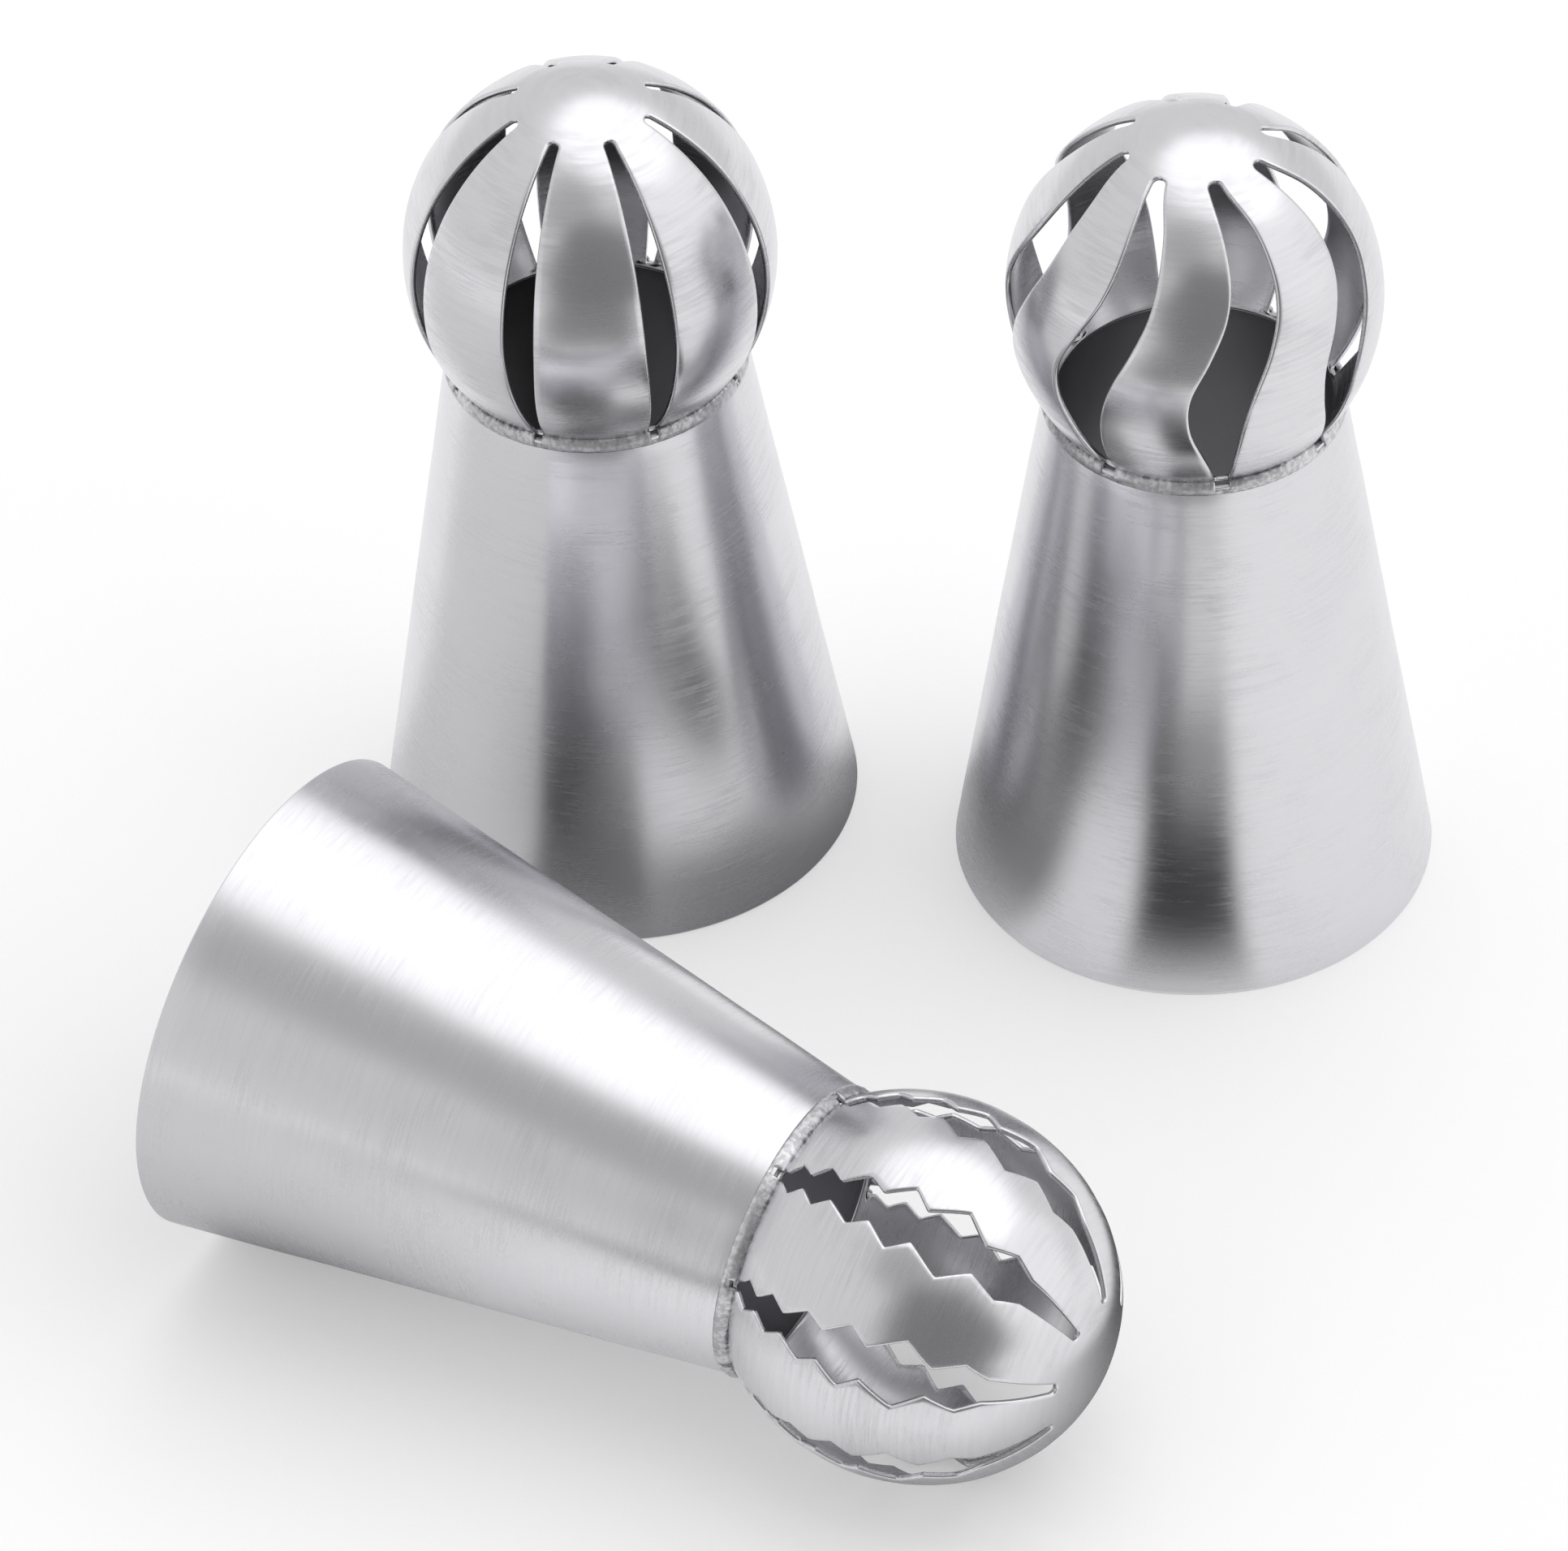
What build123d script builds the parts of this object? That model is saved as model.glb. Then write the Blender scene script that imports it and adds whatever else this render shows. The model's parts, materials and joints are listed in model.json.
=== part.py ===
from build123d import *
import math
import os

# A set of three ball-tipped piping nozzles in stainless steel sheet, in millimetres and degrees.
# Two stand on their base rims and one lies on its side, resting on its rim and its ball.
# +X points right, +Y away from the viewer and +Z up. The table is at height zero.

# Skirt: the hollow cone that sits in the pastry bag, trimmed to its own height on each nozzle
base_diameter = 32.0
straight_skirt_height = 37.65
wave_skirt_height = 38.25
zigzag_skirt_height = 38.5
taper_angle = 9.336
sheet = 0.4

# Ball: a hollow shell, sized by its width as a share of the base diameter and its length as a
# share of that width, whose lower opening dips into the skirt
ball_width_share = 0.7531
ball_length_share = 1.0664
seat_clearance = 0.05
collar_depth = 0.25

# Weld: the bead that closes the joint, from the skirt's outside to the ball's outside
weld_lap = 0.5
weld_rise = 0.4
weld_bulge = 0.08
weld_clearance = 0.01

# Slots: equal openings around the ball, from a rounded tip near the crown down to the weld
slot_count = 8
slot_top_angle = 23.0
slot_end_rise = 0.1
cut_overrun = 1.0

# Slot outlines. Each row holds the share of the way down the slot, the share of the pitch by which
# the slot's middle swings sideways there, and the share of the pitch that half its width takes.
straight_outline_shares = [
    (0.0, 0.0, 0.093),
    (0.25, 0.0, 0.108),
    (0.6, 0.0, 0.111),
    (0.8, 0.0, 0.08),
    (1.0, 0.0, 0.038),
]
wave_outline_shares = [
    (0.0, 0.029, 0.12),
    (0.13, 0.15, 0.172),
    (0.26, 0.173, 0.185),
    (0.37, 0.124, 0.199),
    (0.485, 0.001, 0.214),
    (0.6, -0.132, 0.218),
    (0.71, -0.174, 0.181),
    (0.825, -0.146, 0.12),
    (0.92, -0.112, 0.08),
    (1.0, -0.09, 0.065),
]
zigzag_outline_shares = [
    (0.0, 0.0, 0.09),
    (0.125, 0.0, 0.107),
    (0.21, 0.0, 0.116),
    (0.28, 0.0, 0.204),
    (0.365, 0.0, 0.107),
    (0.445, 0.0, 0.258),
    (0.54, 0.0, 0.116),
    (0.595, 0.0, 0.224),
    (0.665, 0.0, 0.102),
    (0.72, 0.0, 0.18),
    (0.79, 0.0, 0.071),
    (0.84, 0.0, 0.153),
    (0.89, 0.0, 0.053),
    (0.935, 0.0, 0.127),
    (0.975, 0.0, 0.044),
    (1.0, 0.0, 0.04),
]

# Lay-out of the set: the clear gap and the bearing from the straight nozzle's base to each other
# base, and how far each nozzle is turned about its own axis
wave_gap = 7.07
wave_bearing = -11.32
zigzag_gap = 10.37
zigzag_bearing = -120.98
zigzag_heading = -31.97
straight_turn = -68.12
wave_turn = -79.1
zigzag_turn = 22.3

# Sizes that follow
base_radius = base_diameter / 2
ball_radius = base_radius * ball_width_share
ball_half_length = ball_radius * ball_length_share
taper = math.tan(math.radians(taper_angle))
sheet_across = sheet / math.cos(math.radians(taper_angle))
slot_pitch = 360 / slot_count


def solid_of_turning(face):
    return revolve(Plane.XZ * face, Axis.Z)


def around_the_axis(cutter):
    return [Rot(0, 0, slot_pitch * index) * cutter for index in range(slot_count)]


class Nozzle:
    """One nozzle, standing on its base rim at the origin: the sizes that follow, and the pieces."""

    def __init__(self, skirt_height, outline_shares, ruled):
        self.skirt_height = skirt_height
        self.outline_shares = outline_shares
        self.ruled = ruled
        self.skirt_top_radius = self.skirt_radius_at(skirt_height)
        self.seat_radius = self.skirt_top_radius - sheet_across - seat_clearance
        self.ball_height = skirt_height + ball_half_length * math.sqrt(1 - (self.seat_radius / ball_radius) ** 2)
        self.collar_height = skirt_height - collar_depth
        end_share = (self.ball_height - skirt_height - slot_end_rise) / ball_half_length
        self.slot_end_angle = 180 - math.degrees(math.acos(end_share))

    def skirt_radius_at(self, height):
        return base_radius - height * taper

    def ball_radius_at(self, height):
        return ball_radius * math.sqrt(1 - ((height - self.ball_height) / ball_half_length) ** 2)

    def ball_point(self, down_angle, longitude, share):
        """The point at this share of the way from the ball's middle to its outer surface."""
        down = math.radians(down_angle)
        around = math.radians(longitude)
        across = share * ball_radius * math.sin(down)
        return Vector(
            across * math.cos(around),
            across * math.sin(around),
            self.ball_height + share * ball_half_length * math.cos(down),
        )

    def skirt(self):
        outline = Polyline(
            (base_radius, 0),
            (self.skirt_top_radius, self.skirt_height),
            (self.skirt_top_radius - sheet_across, self.skirt_height),
            (base_radius - sheet_across, 0),
            close=True,
        )
        return solid_of_turning(make_face(outline))

    def egg(self, radius, half_length):
        """A solid ball, longer than it is wide, about the ball's middle."""
        right_half = Pos(radius, 0) * Rectangle(2 * radius, 2 * (half_length + cut_overrun))
        return solid_of_turning(Pos(0, self.ball_height) * (Ellipse(radius, half_length) & right_half))

    def slot_cutters(self):
        """The slots, cut along rays from the ball's middle, each with a rounded upper tip."""
        inner_share = 1 - (sheet + cut_overrun) / ball_radius
        outer_share = 1 + cut_overrun / ball_radius
        sections = []
        for along_share, swing_share, half_width_share in self.outline_shares:
            down_angle = slot_top_angle + along_share * (self.slot_end_angle - slot_top_angle)
            left = (swing_share - half_width_share) * slot_pitch
            right = (swing_share + half_width_share) * slot_pitch
            corners = [
                self.ball_point(down_angle, left, inner_share),
                self.ball_point(down_angle, right, inner_share),
                self.ball_point(down_angle, right, outer_share),
                self.ball_point(down_angle, left, outer_share),
            ]
            sections.append(Wire.make_polygon(corners, close=True))
        body = Solid.make_loft(sections, self.ruled)
        _, tip_swing_share, tip_half_width_share = self.outline_shares[0]
        tip_start = self.ball_point(slot_top_angle, tip_swing_share * slot_pitch, inner_share)
        tip_end = self.ball_point(slot_top_angle, tip_swing_share * slot_pitch, outer_share)
        tip_way = tip_end - tip_start
        tip_circle_radius = ball_radius * math.sin(math.radians(slot_top_angle))
        tip_radius = tip_circle_radius * math.radians(tip_half_width_share * slot_pitch)
        tip = Solid.make_cylinder(tip_radius, tip_way.length, Plane(origin=tip_start, z_dir=tip_way))
        return around_the_axis(body + tip)

    def weld_notches(self):
        """The gaps that the lower ends of the slots leave in the bead."""
        _, swing_share, half_width_share = self.outline_shares[-1]
        reach = sheet_across + cut_overrun
        section = Pos(self.seat_radius, self.skirt_height + slot_end_rise) * Rectangle(
            2 * reach, weld_rise + cut_overrun, align=(Align.CENTER, Align.MIN)
        )
        notch = revolve(Plane.XZ * section, Axis.Z, 2 * half_width_share * slot_pitch)
        return around_the_axis(Rot(0, 0, (swing_share - half_width_share) * slot_pitch) * notch)

    def ball(self):
        shell = self.egg(ball_radius, ball_half_length) - self.egg(ball_radius - sheet, ball_half_length - sheet)
        below = Pos(0, 0, self.collar_height - ball_half_length) * Cylinder(ball_radius, 2 * ball_half_length)
        return shell - below - self.slot_cutters()

    def weld(self):
        low_height = self.skirt_height - weld_lap
        high_height = self.skirt_height + weld_rise
        low = (self.skirt_radius_at(low_height), low_height)
        high = (self.ball_radius_at(high_height) + weld_clearance, high_height)
        out = (self.skirt_top_radius + weld_bulge, (low_height + high_height) / 2)
        rim_inside = (self.seat_radius + weld_clearance, self.skirt_height)
        rim_outside = (self.skirt_top_radius, self.skirt_height)
        outline = ThreePointArc(low, out, high) + Polyline(high, rim_inside, rim_outside, low)
        return solid_of_turning(make_face(outline)) - self.weld_notches()

    def pieces(self):
        return {"skirt": self.skirt(), "ball": self.ball(), "weld": self.weld()}


def standing_place(gap, bearing, turn):
    reach = base_diameter + gap
    way = math.radians(bearing)
    return Pos(reach * math.cos(way), reach * math.sin(way), 0) * Rot(0, 0, turn)


def lying_place(nozzle, gap, bearing, heading, turn):
    """Lay a nozzle down so that its base rim and its ball both touch the table."""
    spread = nozzle.ball_height ** 2 - ball_half_length ** 2
    lift = base_radius * nozzle.ball_height
    rest = base_radius ** 2 - ball_radius ** 2
    dip = math.atan((lift - math.sqrt(lift ** 2 - spread * rest)) / spread)
    reach = base_diameter + gap
    way = math.radians(bearing)
    middle_height = base_radius * math.cos(dip)
    spot = Pos(reach * math.cos(way), reach * math.sin(way), middle_height)
    return spot * Rot(0, 0, heading) * Rot(0, 90 + math.degrees(dip), 0) * Rot(0, 0, turn)


straight_nozzle = Nozzle(straight_skirt_height, straight_outline_shares, False)
wave_nozzle = Nozzle(wave_skirt_height, wave_outline_shares, False)
zigzag_nozzle = Nozzle(zigzag_skirt_height, zigzag_outline_shares, True)
straight_place = Rot(0, 0, straight_turn)
wave_place = standing_place(wave_gap, wave_bearing, wave_turn)
zigzag_place = lying_place(zigzag_nozzle, zigzag_gap, zigzag_bearing, zigzag_heading, zigzag_turn)
nozzles = {
    "straight": (straight_nozzle, straight_place),
    "wave": (wave_nozzle, wave_place),
    "zigzag": (zigzag_nozzle, zigzag_place),
}

placed = {}
for kind, (nozzle, place) in nozzles.items():
    for piece, shape in nozzle.pieces().items():
        placed[kind + "_" + piece] = place * shape

# The origin is on the table, under the middle of the whole set
box = Compound(children=list(placed.values())).bounding_box()
to_origin = Pos(-box.center().X, -box.center().Y, 0)
os.makedirs("parts", exist_ok=True)
for node, shape in placed.items():
    export_step((to_origin * shape).solid(), "parts/" + node + ".step")
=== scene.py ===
"""The looks of a set of three ball-tipped piping nozzles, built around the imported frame.

Each nozzle is three pieces of stainless steel: a tapered skirt, a slotted ball and the weld bead
between them. Every length is in metres.
"""
import json
import logging
import math
from collections.abc import Sequence
from dataclasses import dataclass, fields
from enum import Enum
from typing import Any

import bpy
from mathutils import Euler, Matrix, Vector


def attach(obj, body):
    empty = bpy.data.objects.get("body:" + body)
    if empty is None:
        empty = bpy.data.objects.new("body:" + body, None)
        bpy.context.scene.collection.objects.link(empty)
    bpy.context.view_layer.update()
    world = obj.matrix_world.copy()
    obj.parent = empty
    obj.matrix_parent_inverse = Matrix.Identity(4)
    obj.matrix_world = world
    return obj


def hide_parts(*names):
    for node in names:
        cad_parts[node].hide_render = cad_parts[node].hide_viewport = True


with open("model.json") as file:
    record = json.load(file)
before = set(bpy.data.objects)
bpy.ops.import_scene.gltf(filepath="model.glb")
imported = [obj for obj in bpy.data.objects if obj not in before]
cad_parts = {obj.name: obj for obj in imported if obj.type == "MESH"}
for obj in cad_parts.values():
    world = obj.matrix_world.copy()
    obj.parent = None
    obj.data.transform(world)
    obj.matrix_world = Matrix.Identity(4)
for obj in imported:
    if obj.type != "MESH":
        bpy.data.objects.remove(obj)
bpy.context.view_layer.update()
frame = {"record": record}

LOG = logging.getLogger("piping_nozzles")
MM = 0.001
BASE_RADIUS = 16.0 * MM
TAPER = math.tan(math.radians(9.336))
OWN_PLACE = "own_place"

Profile = list[tuple[float, float]]
Triple = tuple[float, float, float]


class EdgeRun(Enum):
    """How a slot's edge runs from one row of its outline to the next."""

    FLOWING = "flowing"
    ANGULAR = "angular"


class Stance(Enum):
    """How a nozzle is set down on the table."""

    STANDING = "standing"
    LYING = "lying"


# Node trees
class Link:
    """An output of a node, with the arithmetic that adds Math nodes to its tree."""

    def __init__(self, tree: "Tree", socket: bpy.types.NodeSocket) -> None:
        """Keeps the tree and the output socket."""
        self.tree = tree
        self.socket = socket

    def _math(self, operation: str, *values: Any) -> "Link":
        """A Math node of this operation, with its inputs in order."""
        return self.tree.add("ShaderNodeMath", {"operation": operation}, list(values))

    def __add__(self, other: Any) -> "Link":
        """The sum."""
        return self._math("ADD", self, other)

    def __radd__(self, other: Any) -> "Link":
        """The sum, with the number first."""
        return self._math("ADD", other, self)

    def __sub__(self, other: Any) -> "Link":
        """The difference."""
        return self._math("SUBTRACT", self, other)

    def __rsub__(self, other: Any) -> "Link":
        """The difference, with the number first."""
        return self._math("SUBTRACT", other, self)

    def __mul__(self, other: Any) -> "Link":
        """The product."""
        return self._math("MULTIPLY", self, other)

    def __truediv__(self, other: Any) -> "Link":
        """The quotient."""
        return self._math("DIVIDE", self, other)

    def __rtruediv__(self, other: Any) -> "Link":
        """The quotient, with the number first."""
        return self._math("DIVIDE", other, self)

    def power(self, exponent: float) -> "Link":
        """This value to a power."""
        return self._math("POWER", self, exponent)

    def cosine(self) -> "Link":
        """The cosine of this angle."""
        return self._math("COSINE", self)

    def sine(self) -> "Link":
        """The sine of this angle."""
        return self._math("SINE", self)

    def eased(self, low: float, high: float) -> "Link":
        """A smooth step from 0 at low to 1 at high."""
        settings = {"interpolation_type": "SMOOTHSTEP"}
        return self.tree.add("ShaderNodeMapRange", settings, [self, low, high, 0.0, 1.0])

    def part(self, name: str) -> "Link":
        """Another output of the same node, by name."""
        return Link(self.tree, self.socket.node.outputs[name])


class Tree:
    """A node tree that is filled one node at a time."""

    def __init__(self, nodes: bpy.types.NodeTree) -> None:
        """Keeps the tree to fill."""
        self.nodes = nodes

    def add(
        self, kind: str, settings: dict[str, Any] | None = None, values: Any = (), output: Any = 0
    ) -> Link:
        """Adds a node.

        Args:
            kind: the node's type.
            settings: its properties, set before its sockets.
            values: the values or links of its inputs, as a list in order or a dict by name.
            output: the name or number of the output that is wanted.

        Returns:
            That output.
        """
        node = self.nodes.nodes.new(kind)
        for name, value in (settings or {}).items():
            setattr(node, name, value)
        pairs = values.items() if isinstance(values, dict) else enumerate(values)
        for key, value in pairs:
            self._feed(self._input(node, key), value)
        return Link(self, node.outputs[output])

    @staticmethod
    def _input(node: bpy.types.Node, key: Any) -> bpy.types.NodeSocket:
        """The input with this number, or the first one in use with this name.

        Args:
            node: the node.
            key: the number or the name.

        Returns:
            The input socket.
        """
        if isinstance(key, int):
            return node.inputs[key]
        return next(socket for socket in node.inputs if socket.name == key and socket.enabled)

    def _feed(self, socket: bpy.types.NodeSocket, value: Any) -> None:
        """Links or sets an input.

        Args:
            socket: the input.
            value: a link, or a value that the socket holds.
        """
        if isinstance(value, Link):
            self.nodes.links.new(value.socket, socket)
        else:
            socket.default_value = value

    def vector(self, x: Any, y: Any, z: Any) -> Link:
        """A vector of three values or links."""
        return self.add("ShaderNodeCombineXYZ", None, [x, y, z])

    def scaled(self, vector: Link, sizes: Triple) -> Link:
        """A vector times another, component by component."""
        return self.add("ShaderNodeVectorMath", {"operation": "MULTIPLY"}, [vector, sizes])

    def noise(self, place: Link, count: float, detail: float) -> Link:
        """A noise from 0 to 1, with this many lumps per unit and this many finer layers."""
        return self.add("ShaderNodeTexNoise", None, {"Vector": place, "Scale": count, "Detail": detail})

    def mixed(self, share: Link, first: Any, second: Any) -> Link:
        """A colour between two others, with this share of the second."""
        sockets = {"Factor": share, "A": first, "B": second}
        return self.add("ShaderNodeMix", {"data_type": "RGBA"}, sockets, "Result")

    def matt(self, grey: float) -> Link:
        """A matt grey surface."""
        return self.add("ShaderNodeBsdfDiffuse", None, {"Color": (grey, grey, grey, 1.0)})

    def metal(self, colour: Link, roughness: Link, height: Link, unit: float) -> Link:
        """A bumpy metal surface.

        Args:
            colour: its colour.
            roughness: its roughness.
            height: the height of its bumps.
            unit: the length that a height of 1 stands for.

        Returns:
            The surface.
        """
        bump = self.add("ShaderNodeBump", None, {"Strength": 1.0, "Distance": unit, "Height": height})
        sockets = {"Base Color": colour, "Metallic": 1.0, "Roughness": roughness, "Normal": bump}
        return self.add("ShaderNodeBsdfPrincipled", None, sockets)

    def end_with(self, surface: Link, kind: str = "ShaderNodeOutputMaterial") -> None:
        """Feeds a surface to the tree's output node."""
        self.nodes.links.new(surface.socket, self.nodes.nodes.new(kind).inputs["Surface"])


def emptied_tree(owner: "bpy.types.Material | bpy.types.World") -> Tree:
    """The node tree of a material or a world, switched on and emptied.

    Args:
        owner: the material or the world.

    Returns:
        The empty tree.
    """
    owner.use_nodes = True
    owner.node_tree.nodes.clear()
    return Tree(owner.node_tree)


def put_in_scene(name: str, data: bpy.types.ID) -> bpy.types.Object:
    """Makes an object of a mesh or a camera and puts it in the scene.

    Args:
        name: the object's name.
        data: the mesh or the camera.

    Returns:
        The object.
    """
    thing = bpy.data.objects.new(name, data)
    bpy.context.scene.collection.objects.link(thing)
    return thing


def quad_mesh(name: str, corners: Sequence[Triple], material: bpy.types.Material) -> bpy.types.Mesh:
    """A flat mesh with four corners.

    Args:
        name: the mesh's name.
        corners: its corners, in order.
        material: its material.

    Returns:
        The mesh.
    """
    mesh = bpy.data.meshes.new(name)
    mesh.from_pydata(corners, [], [(0, 1, 2, 3)])
    mesh.materials.append(material)
    return mesh


# Wrapping a flat pattern round the axis
@dataclass(frozen=True)
class Place:
    """Where a nozzle stands: the middle of its base rim and its turning."""

    middle: Vector
    turning: Euler


@dataclass(frozen=True)
class Order:
    """What a nozzle gives to each of its pieces."""

    name: str
    place: Place
    finish: bpy.types.Material
    seed: int


@dataclass(frozen=True)
class WrapSizes:
    """The sizes that the wrapping tree is given for one piece, under the names of its inputs."""

    copies: int
    dent_depth: float = 0.0
    dent_size: float = 6.0 * MM
    ripple_depth: float = 0.0
    ripple_size: float = 0.3 * MM
    centre_height: float = 0.0
    roundness: float = 0.0


class Wrapper:
    """The Geometry Nodes tree that wraps a flat pattern round an axis and repeats it.

    The pattern's own x is the angle round the axis, y the distance from the axis and z the height.
    """

    INPUTS = (
        ("Copies", "NodeSocketInt"),
        ("Dent Depth", "NodeSocketFloat"),
        ("Dent Size", "NodeSocketFloat"),
        ("Ripple Depth", "NodeSocketFloat"),
        ("Ripple Size", "NodeSocketFloat"),
        ("Centre Height", "NodeSocketFloat"),
        ("Roundness", "NodeSocketFloat"),
        ("Seed", "NodeSocketInt"),
        ("Turning", "NodeSocketVector"),
        ("Middle", "NodeSocketVector"),
        ("Finish", "NodeSocketMaterial"),
    )
    MERGE_DISTANCE = 0.002 * MM
    SEED_STEP = 7.31
    DENT_RANGE = (0.3, 0.75)
    DENT_DETAIL = 1.0
    RIPPLE_RANGE = (0.35, 0.75)
    RIPPLE_DETAIL = 3.0

    def __init__(self) -> None:
        """Builds the tree."""
        self.group = bpy.data.node_groups.new("wrap_round_axis", "GeometryNodeTree")
        interface = self.group.interface
        interface.new_socket("Pattern", in_out="INPUT", socket_type="NodeSocketGeometry")
        for name, kind in self.INPUTS:
            interface.new_socket(name, in_out="INPUT", socket_type=kind)
        interface.new_socket("Piece", in_out="OUTPUT", socket_type="NodeSocketGeometry")
        self._fill()

    def _fill(self) -> None:
        """Adds the nodes: wrap, repeat, merge, dent, ripple, place and dress."""
        tree = Tree(self.group)
        start = tree.add("NodeGroupInput")
        flat = tree.add("ShaderNodeSeparateXYZ", None, [tree.add("GeometryNodeInputPosition")])
        around, across, height = flat.part("X"), flat.part("Y"), flat.part("Z")
        wrapped = tree.vector(across * around.cosine(), across * around.sine(), height)
        sheet = tree.add(
            "GeometryNodeSetPosition", None, {"Geometry": start.part("Pattern"), "Position": wrapped}
        )

        count = {"Count": start.part("Copies"), "Offset": (0.0, 0.0, 0.0)}
        seats = tree.add("GeometryNodeMeshLine", None, count)
        turn = tree.add("GeometryNodeInputIndex") * math.tau / start.part("Copies")
        ring = tree.add(
            "GeometryNodeInstanceOnPoints",
            None,
            {"Points": seats, "Instance": sheet, "Rotation": tree.vector(0.0, 0.0, turn)},
        )
        whole = tree.add("GeometryNodeRealizeInstances", None, {"Geometry": ring})
        closed = tree.add(
            "GeometryNodeMergeByDistance", None, {"Geometry": whole, "Distance": self.MERGE_DISTANCE}
        )

        place = tree.add("GeometryNodeInputPosition")
        own = tree.add("ShaderNodeSeparateXYZ", None, [place])
        rise = (own.part("Z") - start.part("Centre Height")) * start.part("Roundness")
        outward = tree.add(
            "ShaderNodeVectorMath",
            {"operation": "NORMALIZE"},
            [tree.vector(own.part("X"), own.part("Y"), rise)],
        )
        seed = start.part("Seed")
        dent = self._noise(tree, place, start.part("Dent Size"), seed, self.DENT_DETAIL)
        ripple = self._noise(tree, place, start.part("Ripple Size"), seed, self.RIPPLE_DETAIL)
        outwards = ripple.eased(*self.RIPPLE_RANGE) * start.part("Ripple Depth")
        push = outwards - dent.eased(*self.DENT_RANGE) * start.part("Dent Depth")
        pushed = {"Vector": outward, "Scale": push}
        offset = tree.add("ShaderNodeVectorMath", {"operation": "SCALE"}, pushed)
        worked = tree.add("GeometryNodeSetPosition", None, {"Geometry": closed, "Offset": offset})

        kept = tree.add(
            "GeometryNodeStoreNamedAttribute",
            {"data_type": "FLOAT_VECTOR", "domain": "POINT"},
            {"Geometry": worked, "Name": OWN_PLACE, "Value": tree.add("GeometryNodeInputPosition")},
        )
        smooth = tree.add("GeometryNodeSetShadeSmooth", None, {"Geometry": kept})
        placed = tree.add(
            "GeometryNodeTransform",
            None,
            {"Geometry": smooth, "Translation": start.part("Middle"), "Rotation": start.part("Turning")},
        )
        real = tree.add("GeometryNodeRealizeInstances", None, {"Geometry": placed})
        dressed = tree.add(
            "GeometryNodeSetMaterial", None, {"Geometry": real, "Material": start.part("Finish")}
        )
        end = self.group.nodes.new("NodeGroupOutput")
        self.group.links.new(dressed.socket, end.inputs["Piece"])

    def _noise(self, tree: Tree, place: Link, size: Link, seed: Link, detail: float) -> Link:
        """A seeded noise over the sheet, from 0 to 1, with lumps of this size."""
        return tree.add(
            "ShaderNodeTexNoise",
            {"noise_dimensions": "4D"},
            {"Vector": place, "W": seed * self.SEED_STEP, "Scale": 1.0 / size, "Detail": detail},
        )

    def wrap(self, order: Order, pattern: bpy.types.Mesh, sizes: WrapSizes) -> bpy.types.Object:
        """Runs the tree on one pattern and keeps the result as a plain mesh.

        Args:
            order: the piece's name, place, finish and seed.
            pattern: the flat pattern.
            sizes: the tree's sizes.

        Returns:
            The finished piece, at the origin, with its place in its mesh.
        """
        work = put_in_scene(order.name + "_pattern", pattern)
        modifier = work.modifiers.new("wrap", "NODES")
        modifier.node_group = self.group
        given = {size.name.replace("_", " ").title(): getattr(sizes, size.name) for size in fields(sizes)}
        given |= {
            "Seed": order.seed,
            "Turning": tuple(order.place.turning),
            "Middle": tuple(order.place.middle),
            "Finish": order.finish,
        }
        for socket in self.group.interface.items_tree:
            if socket.in_out == "INPUT" and socket.name in given:
                modifier[socket.identifier] = given[socket.name]
        depsgraph = bpy.context.evaluated_depsgraph_get()
        mesh = bpy.data.meshes.new_from_object(
            work.evaluated_get(depsgraph), preserve_all_data_layers=True, depsgraph=depsgraph
        )
        mesh.name = order.name
        bpy.data.objects.remove(work)
        bpy.data.meshes.remove(pattern)
        return put_in_scene(order.name, mesh)


def pattern_mesh(name: str, rows: Sequence[Sequence[Triple]], closed: bool) -> bpy.types.Mesh:
    """A flat pattern: a grid of points, each an angle, a distance from the axis and a height.

    Args:
        name: the mesh's name.
        rows: the rows of points, all of one length, running down the outside of the piece.
        closed: whether the last row joins the first.

    Returns:
        The mesh.
    """
    width = len(rows[0])
    faces = []
    for row in range(len(rows) if closed else len(rows) - 1):
        below = (row + 1) % len(rows)
        for column in range(width - 1):
            here, under = row * width + column, below * width + column
            faces.append((here, under, under + 1, here + 1))
    mesh = bpy.data.meshes.new(name)
    mesh.from_pydata([point for row in rows for point in row], [], faces)
    return mesh


def rounded_loop(corners: Profile, radii: Sequence[float], steps: int) -> Profile:
    """A closed outline with rounded corners.

    Args:
        corners: the outline's corners.
        radii: each corner's rounding.
        steps: how many points each rounding gets, less one.

    Returns:
        The outline's points.
    """
    points: Profile = []
    for index, corner in enumerate(corners):
        here = Vector(corner)
        before = (Vector(corners[index - 1]) - here).normalized()
        after = (Vector(corners[(index + 1) % len(corners)]) - here).normalized()
        half = before.angle(after) / 2
        reach = radii[index] / math.tan(half)
        first, last = here + before * reach, here + after * reach
        for step in range(steps + 1):
            share = step / steps
            blend = (1 - share) ** 2 * first + 2 * share * (1 - share) * here + share**2 * last
            points.append((blend.x, blend.y))
    return points


# Finishes
def depth_in_skirt(tree: Tree, own: Link) -> Link:
    """How far a point lies inside the skirts' outer cone, straight towards the axis.

    Args:
        tree: the tree to add it to.
        own: the piece's own place.

    Returns:
        The depth.
    """
    split = tree.add("ShaderNodeSeparateXYZ", None, [own])
    across = (split.part("X") * split.part("X") + split.part("Y") * split.part("Y")).power(0.5)
    return BASE_RADIUS - split.part("Z") * TAPER - across


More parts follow.
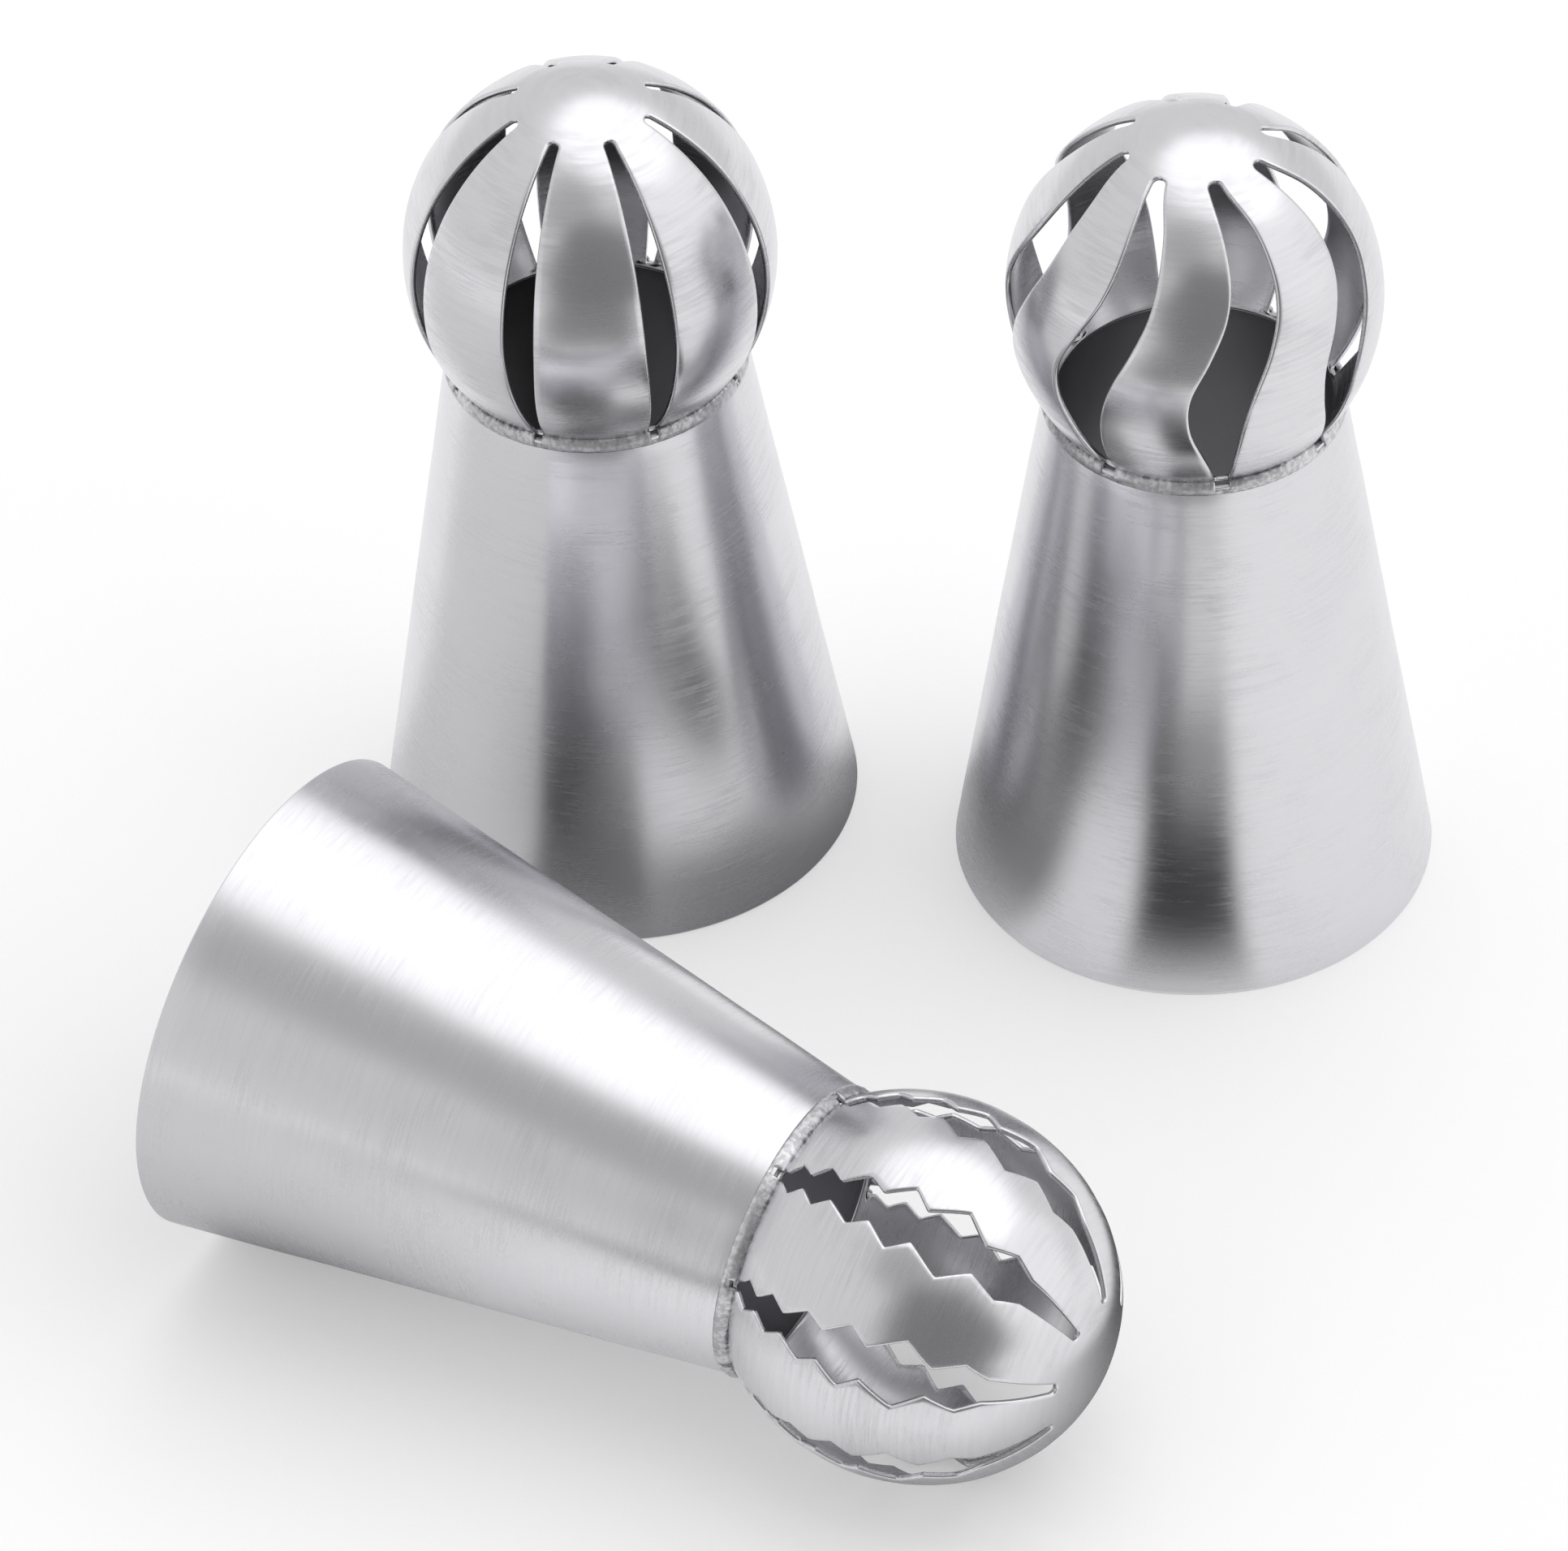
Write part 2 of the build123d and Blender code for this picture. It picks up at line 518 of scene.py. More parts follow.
def own_place(tree: Tree) -> tuple[Link, Link]:
    """A point's place on its own piece, which it keeps when the piece moves.

    Args:
        tree: the tree to add it to.

    Returns:
        The place in metres and in millimetres.
    """
    own = tree.add("ShaderNodeAttribute", {"attribute_name": OWN_PLACE}, (), "Vector")
    return own, tree.scaled(own, (1 / MM, 1 / MM, 1 / MM))


@dataclass(frozen=True)
class InsideWall:
    """The inside of a tapered sheet, told from the outside by its depth: unpolished and rougher, with
    painted shade in its darker grey.
    """

    depth: float = 0.2 * MM
    softness: float = 0.25
    # Painted shade: this darker grey stands in for the shade inside the skirt.
    grey: Triple = (0.32, 0.317, 0.338)
    roughness: float = 0.36

    def dull(self, tree: Tree, own: Link, colour: Link, roughness: Link) -> tuple[Link, Link]:
        """Mixes the inside's painted shade into a colour, and its dull finish into a roughness.

        Args:
            tree: the tree to add it to.
            own: the piece's own place.
            colour: the outside's colour.
            roughness: the outside's roughness.

        Returns:
            The mixed colour and roughness.
        """
        start, end = self.depth * (1 - self.softness), self.depth * (1 + self.softness)
        inside = depth_in_skirt(tree, own).eased(start, end)
        mixed = tree.mixed(inside, colour, (*self.grey, 1.0))
        return mixed, roughness + inside * (self.roughness - roughness)


@dataclass(frozen=True)
class SteelFinish:
    """Stainless steel sheet with marks that run round the axis. Counts are per millimetre."""

    name: str
    light: Triple = (0.74, 0.737, 0.765)
    dark: Triple = (0.56, 0.557, 0.58)
    roughness: float = 0.2
    hair_height: float = 0.00022 * MM
    streak_height: float = 0.0002 * MM
    hair_counts: tuple[float, float] = (0.35, 16.0)
    streak_counts: tuple[float, float] = (0.28, 4.5)
    cloud_count: float = 0.22
    mark_strength: float = 0.13
    cloud_strength: float = 0.2
    wall: InsideWall | None = None

    HAIR_DETAIL = 3.0
    STREAK_DETAIL = 4.0
    CLOUD_DETAIL = 3.0
    PATCH_RANGE = (0.45, 0.62)
    MARK_RANGE = (0.35, 0.7)
    BARE_SHARE = 0.35
    HAIR_ROUGHNESS = 0.08
    MARK_ROUGHNESS = 0.07

    def make(self) -> bpy.types.Material:
        """Builds the material.

        Returns:
            The material.
        """
        material = bpy.data.materials.new(self.name)
        tree = emptied_tree(material)
        own, in_mm = own_place(tree)
        hair = self._streaks(tree, in_mm, self.hair_counts, self.HAIR_DETAIL)
        streak = self._streaks(tree, in_mm, self.streak_counts, self.STREAK_DETAIL)
        cloud = tree.noise(in_mm, self.cloud_count, self.CLOUD_DETAIL)
        patch = cloud.eased(*self.PATCH_RANGE)
        marks = streak.eased(*self.MARK_RANGE) * (self.BARE_SHARE + patch * (1 - self.BARE_SHARE))
        darkness = marks * self.mark_strength + cloud * self.cloud_strength
        colour = tree.mixed(darkness, (*self.light, 1.0), (*self.dark, 1.0))
        roughness = self.roughness + hair * self.HAIR_ROUGHNESS + marks * self.MARK_ROUGHNESS
        # The skirt's inside gets painted shade in its colour and a rougher finish.
        if self.wall:
            colour, roughness = self.wall.dull(tree, own, colour, roughness)
        height = hair * (self.hair_height / MM) + streak * patch * (self.streak_height / MM)
        tree.end_with(tree.metal(colour, roughness, height, MM))
        return material

    @staticmethod
    def _streaks(tree: Tree, in_mm: Link, counts: tuple[float, float], detail: float) -> Link:
        """Noise drawn out round the axis, with its lumps counted round the axis and along it."""
        around, along = counts
        return tree.noise(tree.scaled(in_mm, (around, around, along)), 1.0, detail)


@dataclass(frozen=True)
class WeldFinish:
    """Rough weld metal, speckled, with random heat-darkened patches, and darker towards where it meets the
    ball.
    """

    name: str
    light: Triple = (0.72, 0.717, 0.74)
    dark: Triple = (0.13, 0.127, 0.14)
    roughness: float = 0.3
    speck_roughness: float = 0.2
    speck_count: float = 3.2
    heat_count: float = 0.3
    bump: float = 0.02 * MM

    SPECK_DETAIL = 5.0
    HEAT_DETAIL = 2.0
    SPECK_RANGE = (0.4, 0.6)
    HEAT_RANGE = (0.42, 0.6)
    DEPTH_RANGE = (-0.04 * MM, 0.09 * MM)
    HEAT_SHARE = 0.45
    SPECK_SHARE = 0.55
    RIM_SHARE = 0.5

    def make(self) -> bpy.types.Material:
        """Builds the material.

        Returns:
            The material.
        """
        material = bpy.data.materials.new(self.name)
        tree = emptied_tree(material)
        own, in_mm = own_place(tree)
        speck = tree.noise(in_mm, self.speck_count, self.SPECK_DETAIL)
        heat = tree.noise(in_mm, self.heat_count, self.HEAT_DETAIL)
        inward = depth_in_skirt(tree, own).eased(*self.DEPTH_RANGE)
        heated = heat.eased(*self.HEAT_RANGE) * self.HEAT_SHARE
        burnt = heated + speck.eased(*self.SPECK_RANGE) * self.SPECK_SHARE
        # The darkness grows towards the ball, where the bead lies deepest, and eases where the bead bulges
        # out.
        darkness = burnt * (self.RIM_SHARE + inward * (1 - self.RIM_SHARE))
        colour = tree.mixed(darkness, (*self.light, 1.0), (*self.dark, 1.0))
        roughness = self.roughness + speck * self.speck_roughness
        tree.end_with(tree.metal(colour, roughness, speck, self.bump))
        return material


# The pieces of a nozzle
@dataclass(frozen=True)
class SlotOutline:
    """The outline of a slot, in shares of its run and of the pitch, as the part's source has it."""

    rows: tuple[Triple, ...]
    edge_run: EdgeRun

    def edges(self, along: float) -> tuple[float, float]:
        """The slot's left and right edge at a share of the way down, in shares of the pitch."""
        swing, half_width = self._row_value(along, 1), self._row_value(along, 2)
        return swing - half_width, swing + half_width

    def _row_value(self, along: float, column: int) -> float:
        """One column of the outline between its rows.

        Args:
            along: the share of the way down.
            column: which column.

        Returns:
            Its value there.
        """
        index = 0
        while index < len(self.rows) - 2 and along > self.rows[index + 1][0]:
            index += 1
        first, second = self.rows[index], self.rows[index + 1]
        gap = second[0] - first[0]
        share = (along - first[0]) / gap
        if self.edge_run is EdgeRun.ANGULAR:
            return first[column] + share * (second[column] - first[column])
        slope_in, slope_out = self._slope(index, column) * gap, self._slope(index + 1, column) * gap
        return (
            (2 * share**3 - 3 * share**2 + 1) * first[column]
            + (share**3 - 2 * share**2 + share) * slope_in
            + (3 * share**2 - 2 * share**3) * second[column]
            + (share**3 - share**2) * slope_out
        )

    def _slope(self, index: int, column: int) -> float:
        """The slope of one column at a row, from its neighbours."""
        low, high = self.rows[max(0, index - 1)], self.rows[min(len(self.rows) - 1, index + 1)]
        return (high[column] - low[column]) / (high[0] - low[0])

    def stations(self, spacing: float) -> list[float]:
        """Shares of the way down that take in every row.

        Args:
            spacing: the widest step between two of them.

        Returns:
            The shares, in order.
        """
        shares = [self.rows[0][0]]
        for first, second in zip(self.rows, self.rows[1:]):
            steps = max(1, math.ceil((second[0] - first[0]) / spacing))
            shares += [first[0] + (second[0] - first[0]) * (step + 1) / steps for step in range(steps)]
        return shares


@dataclass(frozen=True)
class NozzleSizes:
    """The sizes of one nozzle, with the values of the part's source."""

    skirt_height: float
    base_radius: float = BASE_RADIUS
    taper: float = TAPER
    sheet: float = 0.4 * MM
    ball_width_share: float = 0.7531
    ball_length_share: float = 1.0664
    seat_clearance: float = 0.05 * MM
    collar_depth: float = 0.25 * MM
    weld_lap: float = 0.5 * MM
    weld_rise: float = 0.4 * MM
    weld_bulge: float = 0.08 * MM
    slot_count: int = 8
    slot_top_angle: float = math.radians(23.0)
    slot_end_rise: float = 0.1 * MM

    @property
    def sheet_across(self) -> float:
        """The sheet's thickness measured straight across the skirt."""
        return self.sheet * math.hypot(1.0, self.taper)

    @property
    def skirt_top_radius(self) -> float:
        """The outer radius of the skirt's top rim."""
        return self.base_radius - self.skirt_height * self.taper

    @property
    def ball_radius(self) -> float:
        """The ball's outer radius at its widest."""
        return self.base_radius * self.ball_width_share

    @property
    def ball_half_length(self) -> float:
        """Half of the ball's length along the axis."""
        return self.ball_radius * self.ball_length_share

    @property
    def seat_radius(self) -> float:
        """The ball's outer radius where it meets the skirt's top rim."""
        return self.skirt_top_radius - self.sheet_across - self.seat_clearance

    @property
    def ball_height(self) -> float:
        """The height of the ball's middle."""
        share = math.sqrt(1 - (self.seat_radius / self.ball_radius) ** 2)
        return self.skirt_height + self.ball_half_length * share

    @property
    def pitch(self) -> float:
        """The angle from one slot to the next."""
        return math.tau / self.slot_count

    def down_angle_at(self, height: float) -> float:
        """The ball's angle from its crown at a height below its middle."""
        return math.pi - math.acos((self.ball_height - height) / self.ball_half_length)

    def ball_point(self, around: float, down: float) -> Triple:
        """A point of the ball's pattern, round the axis and down from the crown by these angles."""
        height = self.ball_height + self.ball_half_length * math.cos(down)
        return around, self.ball_radius * math.sin(down), height

    def ball_radius_at(self, height: float) -> float:
        """The ball's outer radius at a height."""
        return self.ball_radius * math.sqrt(1 - ((height - self.ball_height) / self.ball_half_length) ** 2)


@dataclass
class Skirt:
    """The tapered skirt: one closed wall, repeated round the axis, with softened rims."""

    sizes: NozzleSizes
    columns: int = 20
    wall_rows: int = 26
    rim_rounding: float = 0.09 * MM
    rim_steps: int = 4
    dent_depth: float = 0.05 * MM
    dent_size: float = 9.0 * MM

    def profile(self) -> Profile:
        """The wall's outline, down the outside and up the inside.

        Returns:
            The points, as distances from the axis and heights.
        """
        sizes = self.sizes
        top, across = sizes.skirt_top_radius, sizes.sheet_across
        corners = [
            (top - across, sizes.skirt_height),
            (top, sizes.skirt_height),
            (sizes.base_radius, 0.0),
            (sizes.base_radius - across, 0.0),
        ]
        loop = rounded_loop(corners, [self.rim_rounding] * len(corners), self.rim_steps)
        corner_points = self.rim_steps + 1
        outer = self._divided(loop[2 * corner_points - 1], loop[2 * corner_points])
        inner = self._divided(loop[-1], loop[0])
        return loop[: 2 * corner_points] + outer + loop[2 * corner_points :] + inner

    def _divided(self, first: tuple[float, float], last: tuple[float, float]) -> Profile:
        """The points between two ends of a straight wall."""
        shares = [row / self.wall_rows for row in range(1, self.wall_rows)]
        return [tuple(a + (b - a) * share for a, b in zip(first, last)) for share in shares]

    def build(self, wrapper: Wrapper, order: Order) -> bpy.types.Object:
        """Builds the skirt.

        Args:
            wrapper: the wrapping tree.
            order: the piece's name, place, finish and seed.

        Returns:
            The piece.
        """
        step = self.sizes.pitch / self.columns
        rows = [[(column * step, *point) for column in range(self.columns + 1)] for point in self.profile()]
        wrap = WrapSizes(self.sizes.slot_count, self.dent_depth, self.dent_size)
        return wrapper.wrap(order, pattern_mesh(order.name + "_flat", rows, True), wrap)


@dataclass
class Ball:
    """The slotted ball: one blade's flat pattern, repeated round the axis, given its thickness."""

    sizes: NozzleSizes
    outline: SlotOutline
    columns: int = 14
    crown_rows: int = 14
    tip_rows: int = 6
    tip_reach: float = 0.05
    row_spacing: float = 0.02
    end_reach: float = 0.02
    edge_rounding: float = 0.17 * MM
    edge_segments: int = 3
    edge_angle: float = math.radians(50.0)
    crown_edge_share: float = 0.97
    end_share: float = 0.125
    collar_share: float = 0.3
    dent_depth: float = 0.05 * MM
    dent_size: float = 5.5 * MM

    @property
    def end_angle(self) -> float:
        """The angle from the crown at which the slots end."""
        return self.sizes.down_angle_at(self.sizes.skirt_height + self.sizes.slot_end_rise)

    def stations(self) -> list[tuple[float, ...]]:
        """The pattern's rows, from the crown to the collar.

        Returns:
            For each row the angle from the crown at the blade's edges, the angle at its middle,
            and the slot's two edges there in shares of the pitch.
        """
        sizes = self.sizes
        swing, half_width = self.outline.rows[0][1:]
        tip_radius = math.sin(sizes.slot_top_angle) * half_width * sizes.pitch
        tip_top = sizes.slot_top_angle - tip_radius
        rows = []
        crown = tip_top - self.tip_reach
        for row in range(self.crown_rows):
            down = crown * row / (self.crown_rows - 1)
            rows.append((down * tip_top / crown * self.crown_edge_share, down, swing, swing))
        for row in range(self.tip_rows):
            share = row / self.tip_rows
            turn = share * math.pi / 2
            edge_down = sizes.slot_top_angle - tip_radius * math.cos(turn)
            middle_down = tip_top - self.tip_reach / 2 + share * (tip_radius + self.tip_reach / 2)
            opening = half_width * math.sin(turn)
            rows.append((edge_down, middle_down, swing - opening, swing + opening))
        run = self.end_angle - sizes.slot_top_angle
        for along in self.outline.stations(self.row_spacing):
            down = sizes.slot_top_angle + along * run
            left, right = self.outline.edges(along)
            near_end = max(0.0, 1 - (1 - along) / self.end_share)
            rows.append((down, down - self.end_reach * near_end, left, right))
        end_swing = self.outline.rows[-1][1]
        collar = sizes.down_angle_at(sizes.skirt_height - sizes.collar_depth)
        below = self.end_angle + (collar - self.end_angle) * self.collar_share
        rows.append((self.end_angle, below, end_swing, end_swing))
        rows.append((collar, collar, end_swing, end_swing))
        return rows

    def pattern(self, name: str) -> bpy.types.Mesh:
        """The flat pattern of one blade, from the middle of one slot to the middle of the next.

        Args:
            name: the mesh's name.

        Returns:
            The mesh.
        """
        rows = []
        for edge_down, middle_down, left, right in self.stations():
            start, end = right * self.sizes.pitch, (1 + left) * self.sizes.pitch
            row = []
            for column in range(self.columns + 1):
                share = column / self.columns
                inwards = 1 - abs(2 * share - 1)
                down = edge_down + (middle_down - edge_down) * inwards
                row.append(self.sizes.ball_point(start + (end - start) * share, down))
            rows.append(row)
        return pattern_mesh(name, rows, False)

    def build(self, wrapper: Wrapper, order: Order) -> bpy.types.Object:
        """Builds the ball.

        Args:
            wrapper: the wrapping tree.
            order: the piece's name, place, finish and seed.

        Returns:
            The piece.
        """
        sizes = self.sizes
        wrap = WrapSizes(
            sizes.slot_count,
            self.dent_depth,
            self.dent_size,
            centre_height=sizes.ball_height,
            roundness=1.0,
        )
        piece = wrapper.wrap(order, self.pattern(order.name + "_flat"), wrap)
        wall = piece.modifiers.new("wall", "SOLIDIFY")
        wall.thickness = sizes.sheet
        wall.offset = -1.0
        wall.use_even_offset = False
        edges = piece.modifiers.new("edges", "BEVEL")
        edges.width = self.edge_rounding
        edges.segments = self.edge_segments
        edges.limit_method = "ANGLE"
        edges.angle_limit = self.edge_angle
        edges.use_clamp_overlap = False
        normals = piece.modifiers.new("normals", "WEIGHTED_NORMAL")
        normals.keep_sharp = False
        return piece


@dataclass
class Weld:
    """The weld bead: a rippled band round the joint, with a gap at the end of each slot."""

    sizes: NozzleSizes
    outline: SlotOutline
    columns: int = 44
    face_rows: int = 8
    depth: float = 0.25 * MM
    ripple_depth: float = 0.05 * MM
    ripple_size: float = 0.35 * MM
    edge_gap: float = 0.004
    gap_share: float = 0.45

    def profile(self, top: float) -> Profile:
        """The bead's outline up to a height, round its face and back inside.

        Args:
            top: the height that it reaches.

        Returns:
            The points, as distances from the axis and heights, from the top down.
        """
        sizes = self.sizes
        low_height = sizes.skirt_height - sizes.weld_lap
        high_height = sizes.skirt_height + sizes.weld_rise
        low = Vector((sizes.base_radius - low_height * sizes.taper, low_height))
        high = Vector((sizes.ball_radius_at(high_height), high_height))
        out = Vector((sizes.skirt_top_radius + sizes.weld_bulge, (low_height + high_height) / 2))
        control = 2 * out - (low + high) / 2
        limit = (top - low_height) / (high_height - low_height)
        face = []
        for row in range(self.face_rows + 1):
            share = limit * (1 - row / self.face_rows)
            point = (1 - share) ** 2 * low + 2 * share * (1 - share) * control + share**2 * high
            face.append((point.x, point.y))
        return [(face[0][0] - self.depth, top), *face, (low.x - self.depth, low_height)]

    def build(self, wrapper: Wrapper, order: Order) -> bpy.types.Object:
        """Builds the bead.

        Args:
            wrapper: the wrapping tree.
            order: the piece's name, place, finish and seed.

        Returns:
            The piece.
        """
        sizes = self.sizes
        _, swing, half_width = self.outline.rows[-1]
        full = self.profile(sizes.skirt_height + sizes.weld_rise)
        gap = self.profile(sizes.skirt_height - sizes.weld_lap * self.gap_share)
        first, last = half_width, 1 - half_width
        turns = [0.0, first - self.edge_gap]
        turns += [first + (last - first) * column / self.columns for column in range(self.columns + 1)]
        turns += [last + self.edge_gap, 1.0]
        cut = (turns[0], turns[1], turns[-2], turns[-1])
        rows = []
        for full_point, gap_point in zip(full, gap):
            points = [gap_point if turn in cut else full_point for turn in turns]
            rows.append([((turn + swing) * sizes.pitch, *point) for turn, point in zip(turns, points)])
        wrap = WrapSizes(sizes.slot_count, ripple_depth=self.ripple_depth, ripple_size=self.ripple_size)
        return wrapper.wrap(order, pattern_mesh(order.name + "_flat", rows, True), wrap)


@dataclass
class Nozzle:
    """One nozzle of the set."""

    kind: str
    stance: Stance
    sizes: NozzleSizes
    outline: SlotOutline
    own_turn: float
    seed: int

    SEAT_HEIGHT = 12.0 * MM
    SLOTS = {"skirt": "brushed_sheet", "ball": "satin_sheet", "weld": "weld_metal"}

    @staticmethod
    def seat_of(kind: str) -> dict[str, Any]:
        """The record's mount on a nozzle's axis, at SEAT_HEIGHT above its base rim."""
        return next(mount for mount in frame["record"]["mounts"] if mount["name"] == kind + "_bag_seat")

    @classmethod
    def foot_of(cls, kind: str) -> Vector:
        """The point of the table under the middle of a standing nozzle."""
        return Vector((*cls.seat_of(kind)["pos_m"][:2], 0.0))

    def place(self) -> Place:
        """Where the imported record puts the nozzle.

        Returns:
            The place of its base rim and its turning.
        """
        seat = self.seat_of(self.kind)
        axis = Vector(seat["axis"])
        middle = Vector(seat["pos_m"]) - axis * self.SEAT_HEIGHT
        heading, tilt = 0.0, 0.0
        if self.stance is Stance.LYING:
            heading, tilt = math.atan2(axis.y, axis.x), math.acos(axis.z)
        turning = Matrix.Rotation(heading, 3, "Z") @ Matrix.Rotation(tilt, 3, "Y")
        turning = turning @ Matrix.Rotation(math.radians(self.own_turn), 3, "Z")
        return Place(middle, turning.to_euler())

    def build(self, wrapper: Wrapper, finishes: dict[str, bpy.types.Material]) -> list[bpy.types.Object]:
        """Builds and dresses the nozzle's three pieces.

        Args:
            wrapper: the wrapping tree.
            finishes: the material of each kind of piece.

        Returns:
            The pieces.
        """
        place = self.place()
        makers = {
            "skirt": Skirt(self.sizes),
            "ball": Ball(self.sizes, self.outline),
            "weld": Weld(self.sizes, self.outline),
        }
        pieces = []
        for role, maker in makers.items():
            order = Order(f"{self.kind}_nozzle_{role}", place, finishes[role], self.seed)
            piece = maker.build(wrapper, order)
            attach(piece, self.kind + "_nozzle")
            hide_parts(f"{self.kind}_{role}")
            pieces.append(piece)
        return pieces


# The studio
@dataclass(frozen=True)
class Glow:
    """One bright or dark area of the studio dome, round a direction. Its angles are in degrees."""

    name: str
    bearing: float
    height: float
    inner: float
    outer: float
    strength: float

    def way(self) -> Triple:
        """The direction of its middle, with the bearing turning from the viewer to the right."""
        turn, rise = math.radians(self.bearing), math.radians(self.height)
        return math.sin(turn) * math.cos(rise), -math.cos(turn) * math.cos(rise), math.sin(rise)

    def level(self, tree: Tree, looking: Link) -> Link:
        """How far it is on in a direction, times its strength.

        Args:
            tree: the tree to add it to.
            looking: the direction.

        Returns:
            The level.
        """
        settings = {"operation": "DOT_PRODUCT", "label": self.name}
        along = tree.add("ShaderNodeVectorMath", settings, [looking, self.way()], "Value")
        outer, inner = math.cos(math.radians(self.outer)), math.cos(math.radians(self.inner))
        return along.eased(outer, inner) * self.strength


@dataclass(frozen=True)
class ReflectionCard:
    """A dark card with soft edges that lies on the table and shows in metal alone, as a painted reflection:
    it casts no shadow and the camera doesn't see it.

    It points at a nozzle from a bearing and spreads to both sides of it, both in degrees.
    """

    name: str
    nozzle: str
    bearing: float
    spread: float
    near: float
    far: float
    grey: float
    lift: float

    SOFT_END = 16.0 * MM
    SOFT_SIDE_START = 0.6
    FADE_START = 0.35

    def build(self) -> None:
        """Lays the card on the table, as a wedge that points at its nozzle."""
        foot = Nozzle.foot_of(self.nozzle)
        corners = []
        for reach, side in ((self.near, -1), (self.far, -1), (self.far, 1), (self.near, 1)):
            turn = math.radians(self.bearing + side * self.spread)
            corners.append((foot.x + math.sin(turn) * reach, foot.y - math.cos(turn) * reach, self.lift))
        card = put_in_scene(self.name, quad_mesh(self.name, corners, self.material(foot)))
        # Glossy rays alone see the card, so it is a painted reflection in the metal and casts no shadow.
        card.visible_camera = False
        card.visible_diffuse = False
        card.visible_shadow = False
        card.visible_transmission = False

    def material(self, foot: Vector) -> bpy.types.Material:
        """Builds the card's material, the grey of its painted reflection, which fades out towards its sides
        and its ends.

        Args:
            foot: the point that the card points at.

        Returns:
            The material.
        """
        material = bpy.data.materials.new(self.name)
        tree = emptied_tree(material)
        spot = tree.add("ShaderNodeSeparateXYZ", None, [tree.add("ShaderNodeTexCoord", None, (), "Object")])
        right, back = spot.part("X") - foot.x, spot.part("Y") - foot.y
        sine, cosine = math.sin(math.radians(self.bearing)), math.cos(math.radians(self.bearing))
        ahead = right * sine - back * cosine
        aside = right * cosine + back * sine
        slant = (aside * aside).power(0.5) / ahead
        side = math.tan(math.radians(self.spread))
        soft_side = math.tan(math.radians(self.spread * self.SOFT_SIDE_START))
        fade_start = self.near + (self.far - self.near) * self.FADE_START
        beside, beyond = slant.eased(soft_side, side), ahead.eased(fade_start, self.far)
        there = ahead.eased(self.near, self.near + self.SOFT_END) * (1.0 - beside) * (1.0 - beyond)
        clear = tree.add("ShaderNodeBsdfTransparent")
        tree.end_with(tree.add("ShaderNodeMixShader", None, [there, clear, tree.matt(self.grey)]))
        return material


